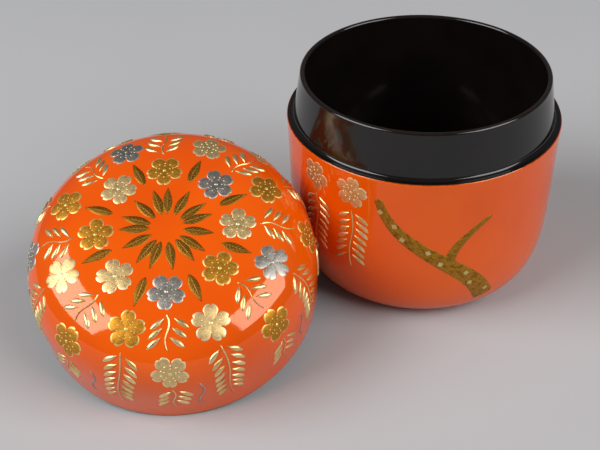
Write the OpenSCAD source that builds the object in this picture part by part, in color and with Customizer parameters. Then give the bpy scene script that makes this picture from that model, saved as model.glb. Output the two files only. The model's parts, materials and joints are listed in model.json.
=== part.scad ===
// Lacquer tea caddy: a turned wooden body with a raised collar, and a deep lid that slides
// over the collar and sits on the ledge around it. Both are coated in lacquer, orange outside
// and black inside, with raised gold and silver work. The lid lies beside the body, tipped
// forward on its rim. Millimetres, +Z up, origin in the middle of the body's base.

/* [Body] */
// Outer diameter of body and lid at the seam
caddy_d = 66; // [58:0.5:80]
// Height of the seam above the table
seam_h = 42.6; // [38:0.1:52]
// How far the flat of the base lies inside the seam radius
base_inset = 13.5; // [10:0.5:18]
// Length of the upright run in the wall's curve
wall_drop = 26.4; // [20:0.2:32]
// How much the wall leans in over its upright run
wall_lean = 1.3; // [0:0.1:3]
// How far the foot's curve is drawn out past the seam radius
foot_swell = 2.7; // [0:0.1:4]
// Thickness of the cup's floor with its lacquer
floor_t = 3.2; // [2.4:0.1:6]
// Radius between the cup's wall and its floor
cup_fillet = 9; // [5:0.5:12]

/* [Collar] */
// Width of the ledge around the collar's foot, which the lid's rim sits on
ledge_w = 1.85; // [1.8:0.05:3]
// Radius of the cove between the ledge and the collar
cove_r = 0.9; // [0.5:0.05:0.9]
// Height of the collar above the ledge
collar_h = 10.9; // [6:0.1:13]
// How far the collar draws in from its foot to its rim
collar_taper = 1.55; // [0:0.05:2]
// Thickness of the collar's rim with its lacquer
collar_t = 1.3; // [1.2:0.1:2.6]

/* [Lid] */
// Height of the lid from its rim to its crown
lid_h = 26; // [23:0.5:34]
// Height of the straight wall above the lid's rim
lid_wall_h = 4; // [2:0.5:8]
// Squareness of the lid's shoulder, where 2 is a plain ellipse
lid_square = 3.8; // [3:0.1:4.5]
// Thickness of the crown with its lacquer
crown_t = 3; // [2:0.1:5]
// Squareness of the hollow inside the lid
hollow_square = 2.6; // [2:0.1:3]
// Clearance all round between the collar and the lid
lid_fit = 0.15; // [0.05:0.05:0.3]
// Straight run left above the collar's rim inside the closed lid
lid_head = 0.5; // [0.2:0.1:2]
// Height of the lacquer lip at the foot of the lid's wall
lip_h = 1.4; // [1.2:0.1:2]

/* [Lacquer] */
// Thickness of each coat of lacquer
coat = 0.4; // [0.2:0.05:0.45]
// Rounding of the edges where lid and body meet
edge_round = 0.5; // [0.5:0.05:0.7]
// How far up the rounded edge of the body the orange coat reaches, in degrees
edge_turn = 55; // [10:5:80]

/* [Lid at rest] */
// How far the lid tips from upright
lean = 21.5; // [10:0.5:35]
// Compass direction that the lid tips towards
lean_az = -80; // [-180:1:180]
// Compass direction from the body to the lid
lid_az = -147.4; // [-180:0.1:180]
// Clearance between lid and body where they come closest
lid_gap = 0.7; // [0.6:0.1:3]

/* [Gold and silver work] */
// Height of the raised gold and silver
gold_t = 0.15; // [0.1:0.05:0.3]
// Film that beds the gold on the lacquer
gold_bed = 0.05; // [0.02:0.01:0.1]
// Columns of strands around the lid
strand_count = 16; // [8:2:18]
// Length of the long strands
strand_len = 16.8; // [14:0.2:19]
// Length of the short strands at the foot of every other column
foot_strand_len = 8; // [6:0.5:11]
// Length of the short strands higher up in those columns
high_strand_len = 8; // [6:0.5:10]
// Bare run between the strands and the foot of the lid's dome
strand_margin = 2; // [1:0.5:4]
// Width of a strand's stem
stem_w = 0.4; // [0.3:0.05:0.8]
// Distance between buds along a strand
bud_pitch = 2; // [1.6:0.1:3]
// Length of a bud
bud_len = 4; // [1.6:0.1:4.6]
// Width of a bud
bud_w = 1.2; // [0.5:0.1:1.3]
// Angle between a bud and its stem
bud_angle = 55; // [45:1:75]
// Radius of a blossom
blossom_r = 4.2; // [2.5:0.1:4.6]
// Bare run between neighbouring motifs
motif_gap = 0.7; // [0.4:0.1:1.5]
// Fans of leaves around the crown
fan_count = 5; // [3:1:6]
// Leaves in one fan
fan_leaves = 3; // [1:2:3]
// Angle between neighbouring leaves of a fan
fan_spread = 27; // [25:1:40]
// Length of a leaf
leaf_len = 7; // [4:0.5:7.5]
// Width of a leaf
leaf_w = 2.2; // [1.2:0.1:2.6]
// Length of a silver tendril
tendril_len = 9; // [5:0.5:10]
// Width of a silver tendril
tendril_w = 0.35; // [0.25:0.05:0.6]
// Width of the gold bough at its foot
bough_w = 5.4; // [3:0.2:7]
// How far the bough climbs up the wall
bough_rise = 31; // [20:1:34]
// How far the bough crosses the wall as it climbs
bough_reach = 27; // [15:1:32]
// Side of a cut gold square
square_w = 1.1; // [0.6:0.1:1.4]

/* [Hidden] */
$fn = 96;

// Colours of the wood, the two lacquers and the metals
wood = [0.72, 0.55, 0.36];
orange = [0.95, 0.33, 0.02];
black = [0.05, 0.04, 0.04];
gold = [0.78, 0.52, 0.12];
pale_gold = [0.93, 0.78, 0.42];
dark_gold = [0.48, 0.32, 0.08];
silver = [0.62, 0.62, 0.60];

// Radii and heights that follow from the driving sizes
caddy_r = caddy_d / 2;
base_r = caddy_r - base_inset;
collar_r = caddy_r - ledge_w;
cup_r = collar_r - collar_taper - collar_t;
rim_r = collar_t / 2;
rim_z = seam_h + collar_h - rim_r;
lid_in_r = collar_r + lid_fit;
hollow_z = collar_h + lid_head;
hollow_h = lid_h - crown_t - hollow_z;

// Fineness of the turned profiles
curve_steps = 36;
arc_steps = 8;

// The body's wall: one curve from the seam down to the flat of the base
wall_ctrl = [[caddy_r, seam_h], [caddy_r - wall_lean, seam_h - wall_drop],
    [caddy_r + foot_swell, 0], [base_r, 0]];
round_t = edge_round / (3 * wall_drop);

function curve(c, t) = pow(1 - t, 3) * c[0] + 3 * t * pow(1 - t, 2) * c[1]
    + 3 * t * t * (1 - t) * c[2] + pow(t, 3) * c[3];
function slope(c, t) = 3 * pow(1 - t, 2) * (c[1] - c[0]) + 6 * t * (1 - t) * (c[2] - c[1])
    + 3 * t * t * (c[3] - c[2]);
function unit(v) = v / norm(v);
function wall_normal(t) = let (d = slope(wall_ctrl, t)) unit([-d[1], d[0]]);
function wall(t, inset = 0) = curve(wall_ctrl, t) - inset * wall_normal(t);
function wall_run(inset) =
    [for (i = [0:curve_steps]) wall(round_t + (1 - round_t) * i / curve_steps, inset)];

// Points along an arc, and a list read backwards
function arc(centre, r, a0, a1) =
    [for (i = [0:arc_steps]) let (a = a0 + (a1 - a0) * i / arc_steps) centre + r * [cos(a), sin(a)]];
function backwards(list) = [for (i = [len(list) - 1:-1:0]) list[i]];

// The rounded edge between wall and ledge, and the corner of the wood below its lacquer
function edge_run(a0, a1) =
    arc([wall(round_t)[0] - edge_round, seam_h - edge_round], edge_round, a0, a1);
edge_corner = [wall(round_t, coat)[0], seam_h - coat];

// The collar's outside, from the ledge up its cove and over the rim
function collar_run(inset) = concat(
    arc([collar_r + cove_r, seam_h + cove_r], cove_r + inset, 270, 180),
    arc([cup_r + rim_r, rim_z], rim_r - inset, 0, 180));

// The cup's inside, from the collar down to the middle of the floor
function cup_run(out) = concat([[cup_r + out, rim_z]],
    arc([cup_r - cup_fillet, floor_t + cup_fillet], cup_fillet + out, 0, -90), [[0, floor_t - out]]);
// A dome whose outline is a squared ellipse, from its foot (angle 0) to its crown (angle 90)
function dome_reach(a, n) = pow(pow(cos(a), n) + pow(sin(a), n), -1 / n);
function dome(r, h, z, n, a, inset = 0) =
    let (k = dome_reach(a, n), c = k * cos(a), s = k * sin(a))
    [r * c, z + h * s] - inset * unit([pow(c, n - 1) / r, pow(s, n - 1) / h]);
function lid_dome(a, inset = 0) =
    dome(caddy_r, lid_h - lid_wall_h, lid_wall_h, lid_square, a, inset);
function hollow_dome(a, inset = 0) = dome(lid_in_r, hollow_h, hollow_z, hollow_square, a, inset);
function lid_run(inset) = [for (i = [0:curve_steps]) lid_dome(90 * i / curve_steps, inset)];
function hollow_run(inset) = [for (i = [0:curve_steps]) hollow_dome(90 * i / curve_steps, inset)];

// The lid at rest tips about its rim's middle until its front edge meets the table, and stands
// out from the body by the least distance that keeps the clearance everywhere
lid_lift = (caddy_r - edge_round) * sin(lean) - edge_round * cos(lean) + edge_round;
function turn(p, a) = [p[0] * cos(a) - p[1] * sin(a), p[0] * sin(a) + p[1] * cos(a), p[2]];
function tip(p) =
    let (q = turn(p, -lean_az))
    turn([q[0] * cos(lean) + q[2] * sin(lean), q[1], q[2] * cos(lean) - q[0] * sin(lean)], lean_az);
wall_radius = [for (i = [curve_steps:-1:0]) let (p = wall(i / curve_steps)) [p[1], p[0]]];
lid_shape = concat([[caddy_r, edge_round]], lid_run(0));
reach_step = 5;
lid_reach = max([for (p = lid_shape, az = [0:reach_step:360 - reach_step])
    let (q = turn(tip([p[0] * cos(az), p[0] * sin(az), p[1]]), -lid_az))
    let (r = lookup(q[2] + lid_lift, wall_radius) + lid_gap)
    sqrt(max(0, r * r - q[1] * q[1])) - q[0]]);

module lid_at_rest() {
    translate(turn([lid_reach, 0, lid_lift], lid_az))
        rotate([0, 0, lean_az])
            rotate([0, lean, 0])
                rotate([0, 0, -lean_az])
                    children();
}

// Runs over the two skins: distance along the skin against the place on its curve
function paced(points, marks) =
    [for (i = 0, s = 0; i < len(points);
        s = s + (i + 1 < len(points) ? norm(points[i + 1] - points[i]) : 0), i = i + 1) [s, marks[i]]];
skin_steps = 120;
lid_marks = [for (i = [0:skin_steps]) 90 - 90 * i / skin_steps];
lid_pace = paced([for (a = lid_marks) lid_dome(a)], lid_marks);
lid_run_len = lid_pace[skin_steps][0];
wall_marks = [for (i = [0:skin_steps]) i / skin_steps];
wall_pace = paced([for (t = wall_marks) wall(t)], wall_marks);

function around(p, az) = [p[0] * cos(az), p[0] * sin(az), p[1]];
function deg(rad) = rad * 180 / PI;

// Places on the skins. A design is drawn as [down, across] from an anchor at a compass
// direction and a run from the crown or the seam, and is laid on the skin at a height
function lid_place(az, run, p, lift) =
    let (r0 = lid_dome(lookup(run, lid_pace))[0])
    let (x = run + p[0], y = p[1] * run / r0)
    around(lid_dome(lookup(norm([x, y]), lid_pace), -lift), az + atan2(y, x));
function wall_place(az, run, p, lift) =
    let (t = lookup(run + p[0], wall_pace))
    around(wall(t, -lift), az + deg(p[1] / wall(t)[0]));

// The raised metal is a little narrower on top than on its bed
gold_top = 0.8;

// A thin plate on a skin, of any outline that is seen whole from its own middle. Rings between
// the outline and its middle let a wide plate follow a skin that curves
module plate(outline, place, seat = gold_bed, rings = [1]) {
    n = len(outline);
    inner = len(rings) - 1;
    under = n * len(rings);
    top = seat + gold_t;
    points = concat([for (k = rings, p = outline) place(k * p, seat)],
        [for (k = rings, p = outline) place(gold_top * k * p, top)],
        [place([0, 0], seat), place([0, 0], top)]);
    edge = [for (i = [0:n - 1]) let (j = (i + 1) % n)
        each [[under + i, j, i], [under + i, under + j, j]]];
    webs = [for (k = [1:1:inner], i = [0:n - 1])
        let (b = n * k + i, d = n * k + (i + 1) % n, a = b - n, c = d - n)
        each [[b, a, c], [b, c, d], [under + b, under + c, under + a], [under + b, under + d, under + c]]];
    heart = [for (i = [0:n - 1]) let (a = n * inner + i, c = n * inner + (i + 1) % n)
        each [[2 * under, a, c], [2 * under + 1, under + c, under + a]]];
    polyhedron(points, concat(edge, webs, heart));
}

// A thin band on a skin, along a path of [down, across] points, with a half width at each
module band(path, half, place, across = [-1, 1]) {
    n = len(path);
    ring = 2 * len(across);
    heading = [for (i = [0:n - 1]) unit(path[min(i + 1, n - 1)] - path[max(i - 1, 0)])];
    rings = [for (i = [0:n - 1]) let (side = half[i] * [-heading[i][1], heading[i][0]])
        each concat([for (c = across) place(path[i] + c * side, gold_bed)],
            [for (c = backwards(across)) place(path[i] + gold_top * c * side, gold_bed + gold_t)])];
    sides = [for (i = [0:n - 2], j = [0:ring - 1]) let (a = ring * i, b = a + ring, k = (j + 1) % ring)
        each [[a + j, b + j, b + k], [a + j, b + k, a + k]]];
    caps = [[for (j = [0:ring - 1]) j], [for (j = [ring - 1:-1:0]) ring * (n - 1) + j]];
    polyhedron(rings, concat(sides, caps));
}

// Outlines of the motifs, each around its own middle
petals = 5;
petal_points = 6;
petal_heart = 0.5;
petal_notch = 0.12;
bloom_rings = [1, 0.7, 0.4];
function petal_reach(i, a) = petal_heart + (1 - petal_heart) * sqrt(abs(cos(petals * a / 2)))
    - (i % petal_points == 0 ? petal_notch : 0);
function blossom() = [for (i = [0:petals * petal_points - 1]) let (a = 360 * i / (petals * petal_points))
    blossom_r * petal_reach(i, a) * [cos(a), sin(a)]];
leaf_points = 6;
leaf_taper = 0.8;
function leaf_edge(x, side) = [leaf_len * (x - 0.5), side * leaf_w / 2 * sin(180 * pow(x, leaf_taper))];
function leaf() = concat([for (i = [0:leaf_points - 1]) leaf_edge(i / leaf_points, -1)],
    [for (i = [leaf_points:-1:1]) leaf_edge(i / leaf_points, 1)]);
bud_points = 6;
function bud() = [for (i = [0:bud_points - 1]) let (a = 360 * i / bud_points)
    [bud_len / 2 * cos(a), bud_w / 2 * sin(a)]];
function square_leaf() = [for (a = [45:90:315]) square_w / sqrt(2) * [cos(a), sin(a)]];
function turned(outline, a) =
    [for (p = outline) [p[0] * cos(a) - p[1] * sin(a), p[0] * sin(a) + p[1] * cos(a)]];

// One hanging strand: a stem that sways a little, with buds on both sides
stem_steps = 10;
stem_sway = 0.5;
bud_out = bud_len / 2 * sin(bud_angle) + stem_w + bud_w / 3;
function sway(x, length) = [x, stem_sway * sin(360 * x / length)];
module stem(length, place) {
    band([for (i = [0:stem_steps]) sway(length * i / stem_steps, length)],
        [for (i = [0:stem_steps]) stem_w / 2], place);
}
module buds(length, place) {
    for (x = [bud_len / 2:bud_pitch:length - bud_len / 2], side = [-1, 1])
        plate(turned(bud(), side * bud_angle),
            function (p, lift) place(p + sway(x, length) + [0, side * bud_out], lift));
}

// The lid's design hangs in columns, set out from the rim upwards. Odd columns have a leaf, a
// blossom and a long strand, and even ones have a blossom and a strand twice over
strand_step = 360 / strand_count;
strand_stray = 1.5;
stray_turn = 107;
function column_az(i) = strand_step * (i + 0.5) + strand_stray * sin(stray_turn * i);
bloom_run = 2 * blossom_r + 2 * motif_gap;
strand_end = lid_run_len - strand_margin;
long_top = strand_end - strand_len;
foot_top = strand_end - foot_strand_len;
high_top = foot_top - bloom_run - high_strand_len;
leaf_end = long_top - bloom_run;
fan_end = high_top - bloom_run;
odd_columns = [1:2:strand_count - 1];
even_columns = [0:2:strand_count - 1];
// Each strand is [compass direction, run to its top, length]
lid_strands = concat([for (i = odd_columns) [column_az(i), long_top, strand_len]],
    [for (i = even_columns) [column_az(i), foot_top, foot_strand_len]],
    [for (i = even_columns) [column_az(i), high_top, high_strand_len]]);
// Each leaf is [compass direction, run to its middle]
lid_leaves = concat([for (i = odd_columns) [column_az(i), leaf_end - leaf_len / 2]],
    [for (i = [0:fan_count - 1], j = [0:fan_leaves - 1])
        [360 * i / fan_count + fan_spread * (j - (fan_leaves - 1) / 2), fan_end - leaf_len / 2]]);
// Every strand hangs from a blossom, and the metals of the blossoms take turns
metals = ["gold", "pale", "silver", "gold", "pale"];
module lid_blossoms(metal) {
    for (i = [0:len(lid_strands) - 1])
        if (metals[i % len(metals)] == metal)
            let (s = lid_strands[i])
                plate(turned(blossom(), s[0]),
                    function (p, lift) lid_place(s[0], s[1] - bloom_run / 2, p, lift),
                    rings = bloom_rings);
}

// The bough climbs the wall in a double bend, thinning as it goes, and forks once
bough_az = -82;
bough_top = 5;
bough_steps = 24;
bough_bend = 2.6;
bough_tip = 0.35;
fork_from = 0.42;
fork_len = 16;
fork_angle = 37;
fork_foot = 0.75;
fork_tip = 0.25;
fork_steps = 12;
bough_across = [-1, -0.5, 0, 0.5, 1];
function bough_at(x) =
    [bough_top + bough_rise * (1 - x), bough_reach * (0.5 - x) + bough_bend * sin(360 * x)];
function bough_half(x) = bough_w / 2 * (1 - (1 - bough_tip) * x);
function fork_at(x) = bough_at(fork_from) + fork_len * [-cos(fork_angle) * x, sin(fork_angle) * x * x];
function fork_half(x) = bough_half(fork_from) * (fork_foot - (fork_foot - fork_tip) * x);
function on_bough(p, lift) = wall_place(bough_az, 0, p, lift);
square_steps = 9;
square_turn = 40;

// Silver tendrils between the columns
tendril_steps = 14;
tendril_curl = 0.8;
tendril_turn = 360;

// Strands on the wall hang from blossoms below its rounded edge
wall_strands = [-136, -117, 22, 43, 128];
wall_bloom_run = edge_round + bloom_run / 2;
wall_strand_run = edge_round + bloom_run;

module body_core() {
    color(wood)
        rotate_extrude()
            polygon(concat([[0, coat]], backwards(wall_run(coat)), [edge_corner],
                collar_run(coat), cup_run(coat)));
}

module body_outer_lacquer() {
    color(orange)
        rotate_extrude()
            polygon(concat(edge_run(edge_turn, 0), wall_run(0), backwards(wall_run(coat)), [edge_corner]));
}

module body_inner_lacquer() {
    color(black)
        rotate_extrude()
            polygon(concat(cup_run(0), backwards(cup_run(coat))));
}

module collar_lacquer() {
    color(black)
        rotate_extrude()
            polygon(concat(edge_run(edge_turn, 90), collar_run(0), backwards(collar_run(coat)), [edge_corner]));
}

module base_lacquer() {
    color(orange)
        cylinder(h = coat, r = base_r);
}

module body_gold_bough() {
    color(gold) {
        band([for (i = [0:bough_steps]) bough_at(i / bough_steps)],
            [for (i = [0:bough_steps]) bough_half(i / bough_steps)],
            function (p, lift) on_bough(p, lift), bough_across);
        band([for (i = [0:fork_steps]) fork_at(i / fork_steps)],
            [for (i = [0:fork_steps]) fork_half(i / fork_steps)],
            function (p, lift) on_bough(p, lift), bough_across);
    }
}

module body_cut_gold_squares() {
    color(pale_gold)
        for (i = [1:square_steps - 1])
            let (x = i / square_steps, middle = bough_at(x) + [0, (i % 2 - 0.5) * bough_half(x)])
                plate(turned(square_leaf(), square_turn * i),
                    function (p, lift) on_bough(p + middle, lift),
                    seat = 2 * gold_bed + gold_t);
}

module body_gold_strands() {
    color(gold)
        for (az = wall_strands) {
            stem(strand_len, function (p, lift) wall_place(az, wall_strand_run, p, lift));
            buds(strand_len, function (p, lift) wall_place(az, wall_strand_run, p, lift));
        }
}

module body_gold_blossoms() {
    color(pale_gold)
        for (az = wall_strands)
            plate(turned(blossom(), az),
                function (p, lift) wall_place(az, wall_bloom_run, p, lift),
                rings = bloom_rings);
}

module lid_core() {
    color(wood)
        lid_at_rest()
            rotate_extrude()
                polygon(concat([[lid_in_r + coat, lip_h], [caddy_r - coat, lip_h]], lid_run(coat),
                    backwards(hollow_run(-coat))));
}

module lid_outer_lacquer() {
    color(orange)
        lid_at_rest()
            rotate_extrude()
                polygon(concat([[caddy_r - coat, edge_round], [caddy_r, edge_round]], lid_run(0),
                    backwards(lid_run(coat))));
}

module lid_inner_lacquer() {
    color(black)
        lid_at_rest()
            rotate_extrude()
                polygon(concat([[lid_in_r, lip_h], [lid_in_r + coat, lip_h]], hollow_run(-coat),
                    backwards(hollow_run(0))));
}

module lid_rim_lacquer() {
    color(black)
        lid_at_rest()
            rotate_extrude()
                polygon(concat([[lid_in_r, cove_r], [lid_in_r + cove_r, 0]],
                    arc([caddy_r - edge_round, edge_round], edge_round, -90, 0),
                    [[caddy_r - coat, edge_round], [caddy_r - coat, lip_h], [lid_in_r, lip_h]]));
}

module lid_gold_leaves() {
    color(dark_gold)
        lid_at_rest()
            for (f = lid_leaves)
                plate(leaf(), function (p, lift) lid_place(f[0], f[1], p, lift));
}

module lid_gold_stems() {
    color(gold)
        lid_at_rest()
            for (s = lid_strands)
                stem(s[2], function (p, lift) lid_place(s[0], s[1], p, lift));
}

module lid_gold_buds() {
    color(gold)
        lid_at_rest()
            for (s = lid_strands)
                buds(s[2], function (p, lift) lid_place(s[0], s[1], p, lift));
}

module lid_gold_blossoms() {
    color(gold)
        lid_at_rest()
            lid_blossoms("gold");
}

module lid_pale_gold_blossoms() {
    color(pale_gold)
        lid_at_rest()
            lid_blossoms("pale");
}

module lid_silver_blossoms() {
    color(silver)
        lid_at_rest()
            lid_blossoms("silver");
}

module lid_silver_tendrils() {
    color(silver)
        lid_at_rest()
            for (i = even_columns)
                band([for (k = [0:tendril_steps]) let (x = k / tendril_steps)
                        [tendril_len * x, tendril_curl * sin(tendril_turn * x)]],
                    [for (k = [0:tendril_steps]) tendril_w / 2],
                    function (p, lift) lid_place(column_az(i + 0.5), foot_top - motif_gap, p, lift));
}

body_core();
body_outer_lacquer();
body_inner_lacquer();
collar_lacquer();
base_lacquer();
body_gold_bough();
body_cut_gold_squares();
body_gold_strands();
body_gold_blossoms();
lid_core();
lid_outer_lacquer();
lid_inner_lacquer();
lid_rim_lacquer();
lid_gold_leaves();
lid_gold_stems();
lid_gold_buds();
lid_gold_blossoms();
lid_pale_gold_blossoms();
lid_silver_blossoms();
lid_silver_tendrils();
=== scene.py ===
# Lacquer tea caddy: a turned wooden body and lid in orange and black lacquer, with raised work in
# gold and silver dust. The lid lies beside the open body, tipped forward on its rim.
import bisect
import json
import math

import bmesh
import bpy
from mathutils import Matrix, Vector


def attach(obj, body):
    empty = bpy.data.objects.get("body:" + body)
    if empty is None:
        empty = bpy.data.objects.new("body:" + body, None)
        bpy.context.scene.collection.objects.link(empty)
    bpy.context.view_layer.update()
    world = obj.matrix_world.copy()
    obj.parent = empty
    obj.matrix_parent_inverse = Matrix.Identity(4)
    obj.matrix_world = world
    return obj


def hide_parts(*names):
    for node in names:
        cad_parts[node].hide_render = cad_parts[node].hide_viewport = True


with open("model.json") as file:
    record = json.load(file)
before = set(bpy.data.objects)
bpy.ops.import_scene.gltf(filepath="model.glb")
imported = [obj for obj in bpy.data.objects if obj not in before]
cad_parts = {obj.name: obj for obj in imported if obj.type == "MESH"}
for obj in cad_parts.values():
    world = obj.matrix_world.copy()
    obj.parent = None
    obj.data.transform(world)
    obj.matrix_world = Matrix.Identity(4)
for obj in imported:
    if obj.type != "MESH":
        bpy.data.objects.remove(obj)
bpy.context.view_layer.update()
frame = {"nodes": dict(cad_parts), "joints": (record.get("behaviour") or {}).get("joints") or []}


# Studio: a pale matt table top, a large soft box on either side of the camera and a dim pale room.
# The camera stands where the photograph was taken from.
MM = 0.001
scene = bpy.context.scene
scene.view_settings.view_transform = "Standard"


class Wire:
    """A shader socket that takes arithmetic: each operator on it adds a Math node."""

    def __init__(self, tree, socket=None):
        self.tree = tree
        self.socket = socket

    def node(self, kind, sockets=None, settings=None, out=0):
        """Adds a node, sets it up, fills or links its sockets, and gives one of its outputs."""
        made = self.tree.nodes.new(kind)
        for name, value in (settings or {}).items():
            setattr(made, name, value)
        for name, value in (sockets or {}).items():
            if isinstance(value, Wire):
                self.tree.links.new(value.socket, made.inputs[name])
            else:
                made.inputs[name].default_value = value
        return Wire(self.tree, made.outputs[out] if made.outputs else None)

    def maths(self, operation, first, second=0.0):
        return self.node("ShaderNodeMath", {0: first, 1: second}, {"operation": operation})

    def __add__(self, other):
        return self.maths("ADD", self, other)

    def __sub__(self, other):
        return self.maths("SUBTRACT", self, other)

    def __rsub__(self, other):
        return self.maths("SUBTRACT", other, self)

    def __mul__(self, other):
        return self.maths("MULTIPLY", self, other)

    def __pow__(self, other):
        return self.maths("POWER", self, other)

    __radd__ = __add__
    __rmul__ = __mul__

    def between(self, low, high):
        """0 below low, 1 above high, and smooth between them."""
        return self.node("ShaderNodeMapRange", {"Value": self, "From Min": low, "From Max": high},
                         {"interpolation_type": "SMOOTHSTEP"})

    def noise(self, place, scale, detail=2.0):
        """Cloudy noise from 0 to 1, with clouds of about 1 / scale metres."""
        return self.node("ShaderNodeTexNoise", {"Vector": place, "Scale": scale, "Detail": detail})

    def blend(self, first, second):
        """The first colour where this wire is 0, the second where it is 1."""
        return self.node("ShaderNodeMix", {0: self, 6: first, 7: second}, {"data_type": "RGBA"}, out=2)

    def relief(self, height):
        """A normal for a surface whose lumps stand this many metres high."""
        return self.node("ShaderNodeBump", {"Height": self, "Strength": 1.0, "Distance": height})


def new_finish(name):
    """An empty material, a wire to build it with, and the object's own coordinates."""
    finish = bpy.data.materials.new(name)
    finish.use_nodes = True
    finish.node_tree.nodes.clear()
    wire = Wire(finish.node_tree)
    return finish, wire, wire.node("ShaderNodeTexCoord", out="Object")


def coat_with(wire, sockets):
    """Ends a material in one shader with these sockets."""
    shader = wire.node("ShaderNodeBsdfPrincipled", sockets)
    wire.node("ShaderNodeOutputMaterial", {"Surface": shader})


def table_finish():
    finish, wire, place = new_finish("table_paper")
    shade, light = (0.44, 0.44, 0.45, 1), (0.48, 0.48, 0.49, 1)
    mottle = wire.noise(place, scale=9.0, detail=4.0)
    coat_with(wire, {
        "Base Color": mottle.blend(shade, light),
        "Roughness": 0.9,
    })
    return finish


table_half = 3.0
table_squares = 8
table_shape = bmesh.new()
bmesh.ops.create_grid(table_shape, x_segments=table_squares, y_segments=table_squares, size=table_half)
table_mesh = bpy.data.meshes.new("table_top")
table_shape.to_mesh(table_mesh)
table_shape.free()
table_mesh.materials.append(table_finish())
table = bpy.data.objects.new("table_top", table_mesh)
scene.collection.objects.link(table)

room_colour = (0.95, 0.97, 1.0, 1)
room_strength = 0.12
room = bpy.data.worlds.new("studio_room")
room.use_nodes = True
room.node_tree.nodes.clear()
scene.world = room
room_wire = Wire(room.node_tree)
room_glow = room_wire.node("ShaderNodeBackground", {"Color": room_colour, "Strength": room_strength})
room_wire.node("ShaderNodeOutputWorld", {"Surface": room_glow})


lit_middle = Vector((-28, -18, 20)) * MM
lamp_distance = 1.5
lamp_drop = 0.90


def soft_box(name, compass, height, width, power):
    """A soft box that faces the caddy from a compass direction and a height, both in degrees."""
    lamp = bpy.data.lights.new(name, "AREA")
    lamp.shape = "RECTANGLE"
    lamp.size = width
    lamp.size_y = lamp_drop
    lamp.energy = power
    flat = math.cos(math.radians(height))
    ray = Vector((flat * math.cos(math.radians(compass)), flat * math.sin(math.radians(compass)),
                  math.sin(math.radians(height))))
    facing = ray.to_track_quat("Z", "Y").to_matrix().to_4x4()
    holder = bpy.data.objects.new(name, lamp)
    holder.matrix_world = Matrix.Translation(lit_middle + lamp_distance * ray) @ facing
    scene.collection.objects.link(holder)


soft_box("soft_box_left", compass=-153, height=40, width=1.10, power=20.5)
soft_box("soft_box_right", compass=-21, height=38, width=1.05, power=16.5)

eye = Vector((0, -212.47, 165.92)) * MM
aim_point = Vector((-29.0, -13.08, 15.0)) * MM
camera_roll = math.radians(-1.738)
camera = bpy.data.cameras.new("photo_camera")
camera.sensor_width = 36
camera.lens = 60
camera.clip_start = 10 * MM
camera_stand = bpy.data.objects.new("photo_camera", camera)
camera_stand.matrix_world = (Matrix.Translation(eye)
                             @ (aim_point - eye).to_track_quat("-Z", "Y").to_matrix().to_4x4()
                             @ Matrix.Rotation(camera_roll, 4, "Z"))
scene.collection.objects.link(camera_stand)
scene.camera = camera_stand


# Wooden cores: the cup with its collar, and the lid, each turned from one block of pale, close-grained
# wood. Lacquer covers them all over, so the turned solids serve as they are.
def turned_wood():
    finish, wire, place = new_finish("turned_wood")
    dark, pale, pore = (0.50, 0.31, 0.14, 1), (0.66, 0.45, 0.24, 1), (0.36, 0.21, 0.09, 1)
    along_grain = wire.node("ShaderNodeMapping", {"Vector": place, "Scale": (1.0, 1.0, 0.12)})
    figure = wire.noise(along_grain, scale=260.0, detail=5.0)
    pores = wire.noise(along_grain, scale=2600.0)
    tint = figure.between(0.3, 0.7).blend(dark, pale)
    coat_with(wire, {
        "Base Color": pores.between(0.58, 0.72).blend(tint, pore),
        "Roughness": 0.5 + 0.2 * figure,
        "Normal": pores.relief(0.02 * MM),
    })
    return finish


def dress_solid(node, finish):
    """Gives a CAD solid that stays in view a finish of its own."""
    solid = frame["nodes"][node].data
    solid.materials.clear()
    solid.materials.append(finish)


core_finish = turned_wood()
dress_solid("body_core", core_finish)
dress_solid("lid_core", core_finish)


# Wall coat: orange lacquer on the outside of the cup, brushed on in many thin layers and polished.
# At the top it runs over the rounded edge and thins out where the black of the ledge begins.
coat_t = 0.4
seam_r = 33.0
seam_h = 42.6
base_r = 19.5
wall_drop = 26.4
wall_lean = 1.3
foot_swell = 2.7
edge_round = 0.5
edge_turn = 55
wall_corners = [Vector((seam_r, seam_h)), Vector((seam_r - wall_lean, seam_h - wall_drop)),
                Vector((seam_r + foot_swell, 0)), Vector((base_r, 0))]
round_share = edge_round / (3 * wall_drop)
curve_steps = 72
under_step = 4
turn_steps = 192
weld_gap = 0.001 * MM
sharp_turn = math.radians(50)


def wall_at(share, lift=0.0):
    """(radius, height) on the wall's curve, from the seam (0) to the flat of the base (1)."""
    a, b, c, d = wall_corners
    left = 1 - share
    spot = left ** 3 * a + 3 * share * left ** 2 * b + 3 * share ** 2 * left * c + share ** 3 * d
    slope = left ** 2 * (b - a) + 2 * share * left * (c - b) + share ** 2 * (d - c)
    return spot + lift * Vector((-slope.y, slope.x)).normalized()


def arc(middle, radius, start, end, steps=18):
    """Points on an arc from one angle to another, in degrees."""
    turns = [math.radians(start + (end - start) * i / steps) for i in range(steps + 1)]
    return [Vector(middle) + radius * Vector((math.cos(a), math.sin(a))) for a in turns]


def edge_line(start, end):
    """The rounded edge between the wall (0 degrees) and the ledge (90 degrees)."""
    return arc((wall_at(round_share).x - edge_round, seam_h - edge_round), edge_round, start, end)


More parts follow.
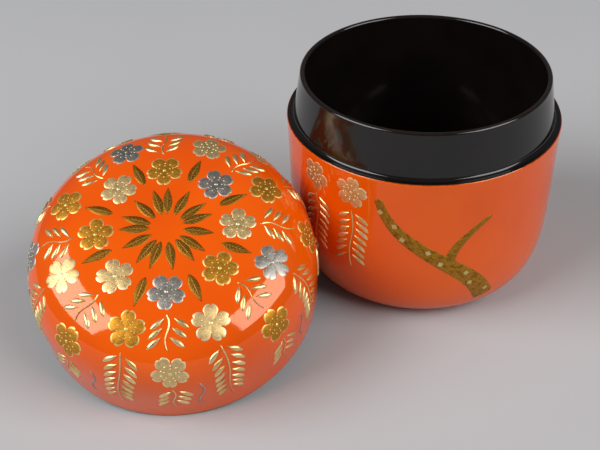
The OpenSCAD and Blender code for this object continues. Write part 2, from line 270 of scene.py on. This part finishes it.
def lathe(outline, edge_h, closed=False):
    """Turns an outline of (radius, height) points round the axis. Each point of the skin keeps its
    distance from the height of the coat's edge as edge_mm."""
    shape = bmesh.new()
    points = [shape.verts.new((r * MM, 0, z * MM)) for r, z in outline]
    lines = [shape.edges.new(pair) for pair in zip(points, points[1:] + points[:1] * closed)]
    bmesh.ops.spin(shape, geom=points + lines, cent=(0, 0, 0), axis=(0, 0, 1), angle=math.tau,
                   steps=turn_steps, use_merge=True)
    bmesh.ops.remove_doubles(shape, verts=shape.verts, dist=weld_gap)
    edge_mm = shape.verts.layers.float.new("edge_mm")
    for vert in shape.verts:
        vert[edge_mm] = abs(vert.co.z / MM - edge_h)
    return shape


def finish_piece(name, shape, finish, body, slot, *nodes):
    """Makes a finished piece of a shape: it rides on a body and stands for these CAD nodes."""
    bmesh.ops.recalc_face_normals(shape, faces=shape.faces)
    for face in shape.faces:
        face.smooth = True
    mesh = bpy.data.meshes.new(name)
    shape.to_mesh(mesh)
    shape.free()
    mesh.set_sharp_from_angle(angle=sharp_turn)
    mesh.materials.append(finish)
    piece = bpy.data.objects.new(name, mesh)
    scene.collection.objects.link(piece)
    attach(piece, body)
    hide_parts(*nodes)


def orange_lacquer(name, thin_edge):
    """Orange lacquer. Where it has a thin edge, the dark ground shows through along it."""
    finish, wire, place = new_finish(name)
    deep, clear, ground = (0.76, 0.082, 0.0006, 1), (0.83, 0.102, 0.0008, 1), (0.16, 0.028, 0.006, 1)
    depth = wire.noise(place, scale=45.0, detail=3.0)
    tint = depth.between(0.3, 0.7).blend(deep, clear)
    if thin_edge:
        edge = wire.node("ShaderNodeAttribute", settings={"attribute_name": "edge_mm"}, out="Fac")
        worn = edge + 0.35 * wire.noise(place, scale=900.0)
        tint = worn.between(0.10, 0.42).blend(ground, tint)
    peel = wire.noise(place, scale=260.0)
    haze = wire.noise(place, scale=1400.0, detail=4.0)
    coat_with(wire, {
        "Base Color": tint,
        "Roughness": 0.04 + 0.06 * haze,
        "IOR": 1.65,
        "Specular Tint": (1.0, 0.78, 0.56, 1),
        "Normal": peel.relief(0.003 * MM),
    })
    return finish


wall_shares = [round_share + (1 - round_share) * i / curve_steps for i in range(curve_steps + 1)]
edge_corner = Vector((wall_at(round_share, -coat_t).x, seam_h - coat_t))
orange_top = edge_line(edge_turn, 0)
wall_outline = (orange_top + [wall_at(s) for s in wall_shares]
                + [wall_at(s, -coat_t) for s in wall_shares[::-under_step]] + [edge_corner])
orange_finish = orange_lacquer("orange_lacquer", thin_edge=True)
finish_piece("wall_coat", lathe(wall_outline, orange_top[0].y, closed=True), orange_finish,
             "body", "orange_lacquer", "body_outer_lacquer")


# Base coat: a thin flat coat of the same orange under the foot, which stands on the table. The flat
# disc of the CAD model is its whole shape.
dress_solid("base_lacquer", orange_lacquer("base_lacquer", thin_edge=False))


# Cup coat: black lacquer inside the cup, down the wall, round the fillet and over the floor.
# It is polished to the same deep gloss as the outside.
floor_t = 3.2
cup_fillet = 9.0
ledge_w = 1.85
collar_r = seam_r - ledge_w
collar_h = 10.9
collar_taper = 1.55
collar_t = 1.3
cup_r = collar_r - collar_taper - collar_t
rim_r = collar_t / 2
rim_h = seam_h + collar_h - rim_r
cup_floor_rings = (14.0, 9.0, 4.0, 0.0)
fine_steps = 24


def black_lacquer():
    finish, wire, place = new_finish("black_lacquer")
    deep, clear = (0.0045, 0.0032, 0.0030, 1), (0.0075, 0.0050, 0.0042, 1)
    rubbed = (0.016, 0.008, 0.006, 1)
    depth = wire.noise(place, scale=60.0, detail=3.0)
    edge = wire.node("ShaderNodeAttribute", settings={"attribute_name": "edge_mm"}, out="Fac")
    worn = edge + 0.6 * wire.noise(place, scale=700.0)
    tint = depth.between(0.3, 0.7).blend(deep, clear)
    haze = wire.noise(place, scale=1400.0, detail=4.0)
    peel = wire.noise(place, scale=300.0)
    coat_with(wire, {
        "Base Color": worn.between(0.2, 0.6).blend(rubbed, tint),
        "Roughness": 0.08 + 0.06 * haze,
        "IOR": 1.5,
        "Normal": peel.relief(0.004 * MM),
    })
    return finish


def cup_line(out):
    """The cup's inside, from the rim to the middle of its floor, moved out into the wood."""
    return ([Vector((cup_r + out, rim_h))]
            + arc((cup_r - cup_fillet, floor_t + cup_fillet), cup_fillet + out, 0, -90, fine_steps)
            + [Vector((r, floor_t - out)) for r in cup_floor_rings])


black_finish = black_lacquer()
finish_piece("cup_coat", lathe(cup_line(0)[::-1] + cup_line(coat_t), seam_h + collar_h), black_finish,
             "body", "black_lacquer", "body_inner_lacquer")


# Collar coat: black lacquer over the collar, its rounded rim, the cove at its foot and the narrow ledge
# where the lid sits. The lid slides on it, so its edges are rubbed a little brown.
cove_r = 0.9
collar_rings = 8


def collar_line(inset):
    """The collar's outside, from the ledge up its cove and over the rim."""
    cove = arc((collar_r + cove_r, seam_h + cove_r), cove_r + inset, 270, 180)
    rim = arc((cup_r + rim_r, rim_h), rim_r - inset, 0, 180, fine_steps)
    return cove + [cove[-1].lerp(rim[0], i / collar_rings) for i in range(1, collar_rings)] + rim


collar_outline = edge_line(edge_turn, 90) + collar_line(0) + collar_line(coat_t)[::-1] + [edge_corner]
finish_piece("collar_coat", lathe(collar_outline, seam_h + collar_h, closed=True), black_finish,
             "body", "black_lacquer", "collar_lacquer")


# Gold bough on the wall: a forked branch built up in lacquer and dusted with gold, with painted shade
# that darkens its hollows. It lies directly on the orange coat.
gold_h = 0.2
gold_bed = 0.06


def paced(curve, marks):
    """The length along a curve from its first mark to each mark."""
    lengths = [0.0]
    for before, after in zip(marks, marks[1:]):
        lengths.append(lengths[-1] + (curve(after) - curve(before)).length)
    return lengths


def mark_at(lengths, marks, run):
    """The mark that lies at a run along a curve."""
    i = min(max(bisect.bisect_left(lengths, run), 1), len(marks) - 1)
    part = (run - lengths[i - 1]) / (lengths[i] - lengths[i - 1])
    return marks[i - 1] + part * (marks[i] - marks[i - 1])


skin_steps = 240
wall_marks = [i / skin_steps for i in range(skin_steps + 1)]
wall_runs = paced(wall_at, wall_marks)


def on_wall(compass, run):
    """Places on the wall's skin: down it and across it from an anchor, and up off it."""
    def place(down, across, lift):
        share = mark_at(wall_runs, wall_marks, run + down)
        angle = math.radians(compass) + across / wall_at(share).x
        r, z = wall_at(share, lift)
        return MM * Vector((r * math.cos(angle), r * math.sin(angle), z))
    return place


balls = {}


def add_ball(shape, sides, steps):
    """Adds a ball of lacquer to a shape, and gives its points and their stroke layer."""
    if (sides, steps) not in balls:
        pattern = bmesh.new()
        pattern.verts.layers.float_vector.new("stroke")
        bmesh.ops.create_uvsphere(pattern, u_segments=sides, v_segments=steps, radius=1.0)
        balls[sides, steps] = bpy.data.meshes.new("ball")
        pattern.to_mesh(balls[sides, steps])
        pattern.free()
    before = len(shape.verts)
    shape.from_mesh(balls[sides, steps])
    shape.verts.ensure_lookup_table()
    return shape.verts[before:], shape.verts.layers.float_vector["stroke"]


heading_step = 0.01
pole_girth = 0.001


def draw_bead(shape, path, half, height, place, sides, steps, tone=0.0):
    """Draws a ball out along a path on a skin. Its points keep the share of the way, the share of the
    half width and a tone as stroke."""
    points, stroke = add_ball(shape, sides, steps)
    for vert in points:
        share = math.acos(max(-1.0, min(1.0, vert.co.z))) / math.pi
        girth = math.hypot(vert.co.x, vert.co.y)
        side, top = (vert.co.x / girth, vert.co.y / girth) if girth > pole_girth else (0.0, 0.0)
        ahead, behind = min(share + heading_step, 1.0), max(share - heading_step, 0.0)
        heading = (path(ahead) - path(behind)).normalized()
        spot = path(share) + half(share) * side * Vector((-heading.y, heading.x))
        vert[stroke] = (share, side, tone)
        vert.co = place(spot.x, spot.y, top * (height if top > 0 else gold_bed))


def blunt(share, ends=0.03):
    """Rounds off both ends of a bead."""
    near = min(share, 1 - share, ends) / ends
    return math.sqrt(1 - (1 - near) ** 2)


bough_compass = -82.0
bough_half_w = 2.7
bough_thinning = 0.65
bough_top = 5
bough_climb = 31
bough_span = 27
bough_bend = 2.6


def bough_path(x):
    """The bough's line from its foot (0) to its tip (1), as a run down the wall and a place across."""
    return Vector((bough_top + bough_climb * (1 - x),
                   bough_span * (0.5 - x) + bough_bend * math.sin(math.tau * x)))


def bough_half(x):
    return bough_half_w * (1 - bough_thinning * x)


fork_from = 0.42
fork_len = 16.0
fork_angle = math.radians(37)
fork_share = 0.75
fork_thinning = 0.5
fork_h = 0.95 * gold_h


def fork_path(x):
    reach = Vector((-math.cos(fork_angle) * x, math.sin(fork_angle) * x * x))
    return bough_path(fork_from) + fork_len * reach


def fork_half(x):
    return bough_half(fork_from) * (fork_share - fork_thinning * x)


def bough_dust():
    finish, wire, place = new_finish("bough_gold")
    stroke = wire.node("ShaderNodeAttribute", settings={"attribute_name": "stroke"}, out="Vector")
    dull, bright, hollow_shade = (0.34, 0.155, 0.010, 1), (0.52, 0.26, 0.025, 1), (0.26, 0.11, 0.008, 1)
    along = wire.node("ShaderNodeMapping", {"Vector": stroke, "Scale": (30.0, 2.2, 1.0)})
    bark = wire.noise(along, scale=1.0, detail=4.0)
    grain = wire.noise(place, scale=2600.0, detail=4.0)
    tint = grain.between(0.3, 0.7).blend(dull, bright)
    coat_with(wire, {
        # Painted shade: the bark's hollows take a darker gold, while its ridges keep the dust's own
        # tint.
        "Base Color": bark.between(0.36, 0.52).blend(hollow_shade, tint),
        "Metallic": 0.85,
        "Roughness": 0.42 + 0.2 * grain,
        "Normal": (bark + 0.3 * grain).relief(0.08 * MM),
    })
    return finish


bough_shape = bmesh.new()
bough_place = on_wall(bough_compass, 0)
draw_bead(bough_shape, bough_path, lambda x: bough_half(x) * blunt(x), gold_h, bough_place,
          sides=20, steps=72)
draw_bead(bough_shape, fork_path, lambda x: fork_half(x) * blunt(x, ends=0.06), fork_h, bough_place,
          sides=16, steps=40, tone=0.4)
finish_piece("gold_bough", bough_shape, bough_dust(), "body", "gold", "body_gold_bough")


# Cut gold squares: small squares of thick gold leaf, pressed one by one onto the bough while its
# lacquer was wet.
square_w = 1.1
square_t = 0.12
square_gaps = 9
square_turn = 40
square_bevel = 0.06
square_proud = 0.2


def cut_leaf_gold():
    finish, wire, place = new_finish("cut_gold")
    shade, shine = (0.62, 0.44, 0.14, 1), (0.86, 0.68, 0.32, 1)
    crease = wire.noise(place, scale=1800.0, detail=3.0)
    coat_with(wire, {
        "Base Color": crease.between(0.3, 0.7).blend(shade, shine),
        "Metallic": 1.0,
        "Roughness": 0.22 + 0.2 * crease,
        "Normal": crease.relief(0.02 * MM),
    })
    return finish


square_shape = bmesh.new()
for i in range(1, square_gaps):
    share = i / square_gaps
    middle = bough_path(share) + Vector((0, (i % 2 - 0.5) * bough_half(share)))
    turned = Matrix.Rotation(math.radians(square_turn * i), 4, "Z")
    block = bmesh.ops.create_cube(square_shape, size=1.0, matrix=turned)
    sides = dict.fromkeys(edge for vert in block["verts"] for edge in vert.link_edges)
    rounded = bmesh.ops.bevel(square_shape, geom=list(sides), offset=square_bevel, offset_type="OFFSET",
                              segments=2, affect="EDGES", profile=0.5, material=-1)
    whole = {vert for face in rounded["faces"] for vert in face.verts}
    for vert in whole:
        spot = middle + square_w * vert.co.xy
        vert.co = bough_place(spot.x, spot.y, gold_h + square_t * (vert.co.z + square_proud))
finish_piece("cut_gold_squares", square_shape, cut_leaf_gold(),
             "body", "pale_gold", "body_cut_gold_squares")


# Gold strands on the wall: hanging stems with paired buds, each a drop of raised lacquer drawn with a
# fine brush and dusted with pale gold.
stem_w = 0.4
bud_len = 4.0
bud_w = 1.2
bud_pitch = 2.0
bud_angle = math.radians(55)
bud_out = bud_len / 2 * math.sin(bud_angle) + stem_w + bud_w / 3
strand_len = 16.8
blossom_r = 4.2
motif_gap = 0.7
bloom_run = 2 * blossom_r + 2 * motif_gap
wall_strands = (-136, -117, 22, 43, 128)
stem_sway = 0.5
stem_share = 1.05
stem_thinning = 0.35
bud_h = 1.5 * gold_h
bud_lean = 1.3
bud_fullness = 0.8
rounding = 0.001


def strand_sway(down, length):
    """The line of a strand, which sways a little to each side on its way down."""
    return Vector((down, stem_sway * math.sin(math.tau * down / length)))


def stem_half(x):
    return stem_w / 2 * (stem_share - stem_thinning * x) * blunt(x)


def bud_half(x):
    """A bud is slim where it leaves the stem and fullest past its middle."""
    return bud_w / 2 * math.sin(math.pi * x ** bud_lean) ** bud_fullness


def draw_stem(shape, length, place):
    draw_bead(shape, lambda x: strand_sway(length * x, length), stem_half, gold_h, place,
              sides=6, steps=28, tone=0.3)


def draw_buds(shape, length, place):
    count = int((length - bud_len) / bud_pitch + rounding) + 1
    for i in range(count):
        stalk = strand_sway(bud_len / 2 + bud_pitch * i, length)
        for side in (-1, 1):
            reach = Vector((math.cos(bud_angle), side * math.sin(bud_angle)))
            middle = stalk + Vector((0, side * bud_out))
            draw_bead(shape, lambda x: middle + bud_len * (x - 0.5) * reach, bud_half, bud_h, place,
                      sides=8, steps=6, tone=(0.37 * i + 0.21 * side) % 1)


def raised_gold():
    finish, wire, place = new_finish("raised_gold")
    stroke = wire.node("ShaderNodeAttribute", settings={"attribute_name": "stroke"}, out="Vector")
    tone = wire.node("ShaderNodeSeparateXYZ", {"Vector": stroke}, out="Z")
    dull, bright = (0.72, 0.46, 0.14, 1), (0.94, 0.73, 0.38, 1)
    grain = wire.noise(place, scale=2800.0, detail=4.0)
    tint = (grain + 0.3 * tone).between(0.3, 0.9).blend(dull, bright)
    coat_with(wire, {
        "Base Color": tint,
        "Metallic": 0.9,
        "Roughness": 0.26 + 0.22 * grain,
        "Normal": grain.relief(0.012 * MM),
    })
    return finish


raised_finish = raised_gold()
wall_strand_shape = bmesh.new()
for compass in wall_strands:
    wall_place = on_wall(compass, edge_round + bloom_run)
    draw_stem(wall_strand_shape, strand_len, wall_place)
    draw_buds(wall_strand_shape, strand_len, wall_place)
finish_piece("wall_strands", wall_strand_shape, raised_finish, "body", "gold", "body_gold_strands")


# Pale gold blossoms on the wall: five petals of slightly raised lacquer under pale gold dust, with a
# small heart and stamens set on afterwards.
petal_count = 5
petal_waist = 0.5
petal_slope = 1.6
nick_depth = 0.12
nick_half = 0.07
stamen_rings = ((0.0, 0.42, 1, 0.0), (0.30, 0.17, 5, 0.5), (0.47, 0.2, 10, 0.0))
stamen_base = 0.7 * gold_h
stamen_h = 0.12
stamen_tone = 2.0
tone_step = 0.4


def petal_reach(angle):
    """Reach of a blossom's outline, with a nick in the tip of each petal."""
    tip = (angle + math.pi / petal_count) % (math.tau / petal_count) - math.pi / petal_count
    lobe = math.sqrt(abs(math.cos(petal_count / 2 * angle)))
    return petal_waist + (1 - petal_waist) * lobe - nick_depth * math.exp(-(tip / nick_half) ** 2)


def lay_blossom(shape, place, turn, tone):
    """Lays a blossom on a skin. Its points keep their place in the flower and a tone as stroke. The
    heart and the stamens are rings of balls: how far out, how large, how many and the first step."""
    points, stroke = add_ball(shape, sides=80, steps=12)
    for vert in points:
        angle = math.atan2(vert.co.y, vert.co.x)
        girth = math.hypot(vert.co.x, vert.co.y)
        reach = girth * petal_reach(angle)
        swell = 0.5 + 0.5 * abs(math.cos(petal_count / 2 * angle)) * min(petal_slope * girth, 1)
        vert[stroke] = (reach * math.cos(angle), reach * math.sin(angle), tone)
        lift = vert.co.z * (gold_h * swell if vert.co.z > 0 else gold_bed)
        vert.co = place(blossom_r * reach * math.cos(angle + turn),
                        blossom_r * reach * math.sin(angle + turn), lift)
    for far, size, count, first in stamen_rings:
        for i in range(count):
            angle = turn + math.tau * (i + first) / count
            for vert in add_ball(shape, sides=8, steps=4)[0]:
                down = blossom_r * far * math.cos(angle) + size * vert.co.x
                across = blossom_r * far * math.sin(angle) + size * vert.co.y
                vert[stroke] = (0.0, 0.0, stamen_tone)
                vert.co = place(down, across, stamen_base + stamen_h * vert.co.z)


def blossom_dust(name, dull, bright, lit, metal, rough):
    """Metal dust on a flat blossom: dull near the heart and along the veins, bright at the rim."""
    finish, wire, place = new_finish(name)
    flower = wire.node("ShaderNodeAttribute", settings={"attribute_name": "stroke"}, out="Vector")
    x = wire.node("ShaderNodeSeparateXYZ", {"Vector": flower}, out="X")
    y = wire.node("ShaderNodeSeparateXYZ", {"Vector": flower}, out="Y")
    tone = wire.node("ShaderNodeSeparateXYZ", {"Vector": flower}, out="Z")
    veins_round = 45.0
    angle = wire.maths("ARCTAN2", y, x)
    lobe = wire.maths("ABSOLUTE", wire.maths("COSINE", angle * (petal_count / 2)))
    reach = (x * x + y * y) ** 0.5
    rim = wire.maths("DIVIDE", reach, petal_waist + (1 - petal_waist) * lobe ** 0.5)
    rays = wire.maths("SINE", angle * veins_round).between(0.55, 1.0)
    veins = rays * rim.between(0.25, 0.5) * (1 - rim.between(0.6, 0.85))
    crease = (1 - lobe.between(0.05, 0.32)) * rim.between(0.2, 0.4)
    grain = wire.noise(place, scale=2600.0, detail=4.0)
    tint = (grain + 0.25 * tone).between(0.25, 0.9).blend(dull, bright)
    tint = (0.55 * veins + 0.5 * crease + 0.35 * (1 - rim.between(0.1, 0.6))).blend(tint, dull)
    stamen = tone.between(0.7 * stamen_tone, 0.8 * stamen_tone)
    outline = rim.between(0.86, 0.93)
    coat_with(wire, {
        "Base Color": wire.maths("MAXIMUM", stamen, outline).blend(tint, lit),
        "Metallic": metal,
        "Roughness": rough + 0.2 * grain,
        "Normal": (grain - 1.5 * veins).relief(0.012 * MM),
    })
    return finish


pale_finish = blossom_dust("pale_gold_dust", dull=(0.62, 0.40, 0.14, 1), bright=(0.88, 0.66, 0.32, 1),
                           lit=(0.94, 0.78, 0.46, 1), metal=0.85, rough=0.36)
wall_blossom_shape = bmesh.new()
for i, compass in enumerate(wall_strands):
    bloom_place = on_wall(compass, edge_round + bloom_run / 2)
    lay_blossom(wall_blossom_shape, bloom_place, math.radians(compass), tone_step * i % 1)
finish_piece("wall_blossoms", wall_blossom_shape, pale_finish,
             "body", "pale_gold", "body_gold_blossoms")


# Lid coat: the same orange lacquer over the lid's dome and its short wall, from the crown to the rim.
# The lid stands on the front of its rim, tipped along the joint's axis.
lid_h = 26.0
lid_wall_h = 4.0
lid_wall_ring_h = 2.4
lid_square = 3.8
lid_axis = Vector(frame["joints"][0]["axis"])
lid_foot = Vector((-55.309, -35.372, 11.946)) * MM
lid_tip = Vector((0, 0, 1)).rotation_difference(lid_axis).to_matrix().to_4x4()
lid_stand = Matrix.Translation(lid_foot) @ lid_tip


def dome_at(radius, height, foot, square, angle, lift=0.0):
    """(radius, height) on a dome with a squared outline, from its foot (0) to its crown (90)."""
    c, s = max(math.cos(math.radians(angle)), 0.0), math.sin(math.radians(angle))
    k = (c ** square + s ** square) ** (-1 / square)
    c, s = k * c, k * s
    outward = Vector((c ** (square - 1) / radius, s ** (square - 1) / height)).normalized()
    return Vector((radius * c, foot + height * s)) + lift * outward


def lid_at(angle, lift=0.0):
    return dome_at(seam_r, lid_h - lid_wall_h, lid_wall_h, lid_square, angle, lift)


def stand_lid(shape):
    """Moves a shape from the lid's own axis to where the lid lies."""
    bmesh.ops.transform(shape, matrix=lid_stand, verts=shape.verts)
    return shape


dome_angles = [90 * i / curve_steps for i in range(curve_steps + 1)]
lid_outline = ([lid_at(a) for a in reversed(dome_angles)]
               + [Vector((seam_r, lid_wall_ring_h)), Vector((seam_r, edge_round)),
                  Vector((seam_r - coat_t, edge_round))]
               + [lid_at(a, -coat_t) for a in dome_angles[::under_step]])
finish_piece("lid_coat", stand_lid(lathe(lid_outline, edge_round)), orange_finish,
             "lid", "orange_lacquer", "lid_outer_lacquer")


# Lid lining and lip: black lacquer inside the lid's hollow, and built up as a lip round its foot.
# The lip is bevelled inside, to clear the cove at the collar's foot, and rounded outside, so the
# seam shows as a dark line.
lid_fit = 0.15
lid_head = 0.5
crown_t = 3.0
hollow_square = 2.6
lip_h = 1.4
lid_in_r = collar_r + lid_fit
hollow_foot = collar_h + lid_head
hollow_h = lid_h - crown_t - hollow_foot


def hollow_at(angle, lift=0.0):
    return dome_at(lid_in_r, hollow_h, hollow_foot, hollow_square, angle, lift)


lining_outline = ([hollow_at(a, coat_t) for a in dome_angles[::-under_step]]
                  + [Vector((lid_in_r + coat_t, lip_h)), Vector((lid_in_r, lip_h))]
                  + [hollow_at(a) for a in dome_angles])
finish_piece("lid_lining", stand_lid(lathe(lining_outline, 0)), black_finish,
             "lid", "black_lacquer", "lid_inner_lacquer")
lip_outline = ([Vector((lid_in_r, cove_r)), Vector((lid_in_r + cove_r, 0))]
               + arc((seam_r - edge_round, edge_round), edge_round, -90, 0)
               + [Vector((seam_r - coat_t, edge_round)), Vector((seam_r - coat_t, lip_h)),
                  Vector((lid_in_r, lip_h))])
finish_piece("lid_lip", stand_lid(lathe(lip_outline, 0, closed=True)), black_finish,
             "lid", "black_lacquer", "lid_rim_lacquer")


# Leaves on the lid: fans of narrow leaves round the crown, and one above each long strand. They are
# dusted with dark, tarnished gold, with the midrib and the veins drawn lighter.
leaf_len = 7.0
leaf_w = 2.2
leaf_lean = 0.8
fan_count = 5
fan_leaves = 3
fan_spread = 27
column_count = 16
column_stray = 1.5
column_stray_step = 107
strand_end_margin = 2.0
foot_strand_len = 8.0
high_strand_len = 8.0
lid_marks = [90 - 90 * i / skin_steps for i in range(skin_steps + 1)]
lid_runs = paced(lid_at, lid_marks)
strand_end = lid_runs[-1] - strand_end_margin
long_top = strand_end - strand_len
foot_top = strand_end - foot_strand_len
high_top = foot_top - bloom_run - high_strand_len
leaf_end = long_top - bloom_run
fan_end = high_top - bloom_run


def on_lid(compass, run):
    """Places on the lid's skin: down it and across it from an anchor, and up off it."""
    girth = lid_at(mark_at(lid_runs, lid_marks, run)).x

    def place(down, across, lift):
        x, y = run + down, across * run / girth
        angle = math.radians(compass) + math.atan2(y, x)
        r, z = lid_at(mark_at(lid_runs, lid_marks, math.hypot(x, y)), lift)
        return lid_stand @ (MM * Vector((r * math.cos(angle), r * math.sin(angle), z)))
    return place


def column_compass(i):
    """The columns stand evenly round the lid, each a little astray, as a hand sets them."""
    stray = column_stray * math.sin(math.radians(column_stray_step * i))
    return 360 / column_count * (i + 0.5) + stray


def leaf_gold():
    finish, wire, place = new_finish("leaf_gold")
    stroke = wire.node("ShaderNodeAttribute", settings={"attribute_name": "stroke"}, out="Vector")
    along = wire.node("ShaderNodeSeparateXYZ", {"Vector": stroke}, out="X")
    side = wire.maths("ABSOLUTE", wire.node("ShaderNodeSeparateXYZ", {"Vector": stroke}, out="Y"))
    dull, bright, line = (0.20, 0.080, 0.004, 1), (0.34, 0.145, 0.012, 1), (0.60, 0.32, 0.05, 1)
    vein_count, vein_slant = 9.0, 1.3
    grain = wire.noise(place, scale=2600.0, detail=4.0)
    waves = wire.maths("SINE", (along * vein_count - side * vein_slant) * math.tau)
    veins = waves.between(0.86, 1.0) * (1 - side.between(0.75, 0.95))
    drawn = wire.maths("MAXIMUM", 1 - side.between(0.03, 0.09), 0.6 * veins)
    drawn = wire.maths("MAXIMUM", drawn, 0.7 * side.between(0.93, 0.98))
    tint = grain.between(0.3, 0.7).blend(dull, bright)
    coat_with(wire, {
        "Base Color": drawn.blend(tint, line),
        "Metallic": 0.85,
        "Roughness": 0.36 + 0.2 * grain,
        "Normal": (grain + 2.0 * drawn).relief(0.015 * MM),
    })
    return finish


odd_columns = range(1, column_count, 2)
even_columns = range(0, column_count, 2)
leaf_spots = [(column_compass(i), leaf_end - leaf_len / 2) for i in odd_columns]
leaf_spots += [(360 / fan_count * i + fan_spread * (j - 1), fan_end - leaf_len / 2)
               for i in range(fan_count) for j in range(fan_leaves)]
leaf_shape = bmesh.new()
for compass, run in leaf_spots:
    draw_bead(leaf_shape, lambda x: Vector((leaf_len * (x - 0.5), 0)),
              lambda x: leaf_w / 2 * math.sin(math.pi * x ** leaf_lean), gold_h, on_lid(compass, run),
              sides=16, steps=20)
finish_piece("lid_leaves", leaf_shape, leaf_gold(), "lid", "dark_gold", "lid_gold_leaves")


# Strands on the lid: stems and drops of raised lacquer under pale gold, hanging from every blossom
# towards the rim in even columns.
lid_strands = [(column_compass(i), long_top, strand_len) for i in odd_columns]
lid_strands += [(column_compass(i), foot_top, foot_strand_len) for i in even_columns]
lid_strands += [(column_compass(i), high_top, high_strand_len) for i in even_columns]
stem_shape = bmesh.new()
bud_shape = bmesh.new()
for compass, run, length in lid_strands:
    draw_stem(stem_shape, length, on_lid(compass, run))
    draw_buds(bud_shape, length, on_lid(compass, run))
finish_piece("lid_stems", stem_shape, raised_finish, "lid", "gold", "lid_gold_stems")
finish_piece("lid_buds", bud_shape, raised_finish, "lid", "gold", "lid_gold_buds")


# Blossoms on the lid: flat five-petal blossoms in three metals that take turns, gold, pale gold and
# silver, each laid on damp lacquer and burnished.
gold_finish = blossom_dust("gold_dust", dull=(0.46, 0.19, 0.010, 1), bright=(0.70, 0.33, 0.03, 1),
                           lit=(0.86, 0.60, 0.20, 1), metal=0.8, rough=0.38)
silver_finish = blossom_dust("silver_dust", dull=(0.22, 0.19, 0.15, 1), bright=(0.42, 0.39, 0.35, 1),
                             lit=(0.62, 0.57, 0.48, 1), metal=0.9, rough=0.34)
metal_turns = 5
blossom_metals = (("lid_blossoms_gold", gold_finish, "gold", "lid_gold_blossoms", (0, 3)),
                  ("lid_blossoms_pale", pale_finish, "pale_gold", "lid_pale_gold_blossoms", (1, 4)),
                  ("lid_blossoms_silver", silver_finish, "silver", "lid_silver_blossoms", (2,)))
for name, finish, slot, node, turns in blossom_metals:
    shape = bmesh.new()
    for i, (compass, run, _) in enumerate(lid_strands):
        if i % metal_turns in turns:
            bloom_place = on_lid(compass, run - bloom_run / 2)
            lay_blossom(shape, bloom_place, math.radians(compass), tone_step * i % 1)
    finish_piece(name, shape, finish, "lid", slot, node)


# Silver tendrils: thin curling lines between the columns near the rim, drawn in lacquer and dusted
# with silver, which has greyed.
tendril_len = 9.0
tendril_w = 0.35
tendril_curl = 0.8


def silver_line():
    finish, wire, place = new_finish("silver_line")
    greyed, bright = (0.34, 0.31, 0.29, 1), (0.60, 0.57, 0.54, 1)
    grain = wire.noise(place, scale=2800.0, detail=4.0)
    coat_with(wire, {
        "Base Color": grain.between(0.3, 0.7).blend(greyed, bright),
        "Metallic": 0.9,
        "Roughness": 0.3 + 0.2 * grain,
        "Normal": grain.relief(0.012 * MM),
    })
    return finish


tendril_shape = bmesh.new()
for i in even_columns:
    tendril_place = on_lid(column_compass(i + 0.5), foot_top - motif_gap)
    draw_bead(tendril_shape, lambda x: Vector((tendril_len * x, tendril_curl * math.sin(math.tau * x))),
              lambda x: tendril_w / 2 * blunt(x), gold_h, tendril_place, sides=6, steps=48)
finish_piece("lid_tendrils", tendril_shape, silver_line(), "lid", "silver", "lid_silver_tendrils")
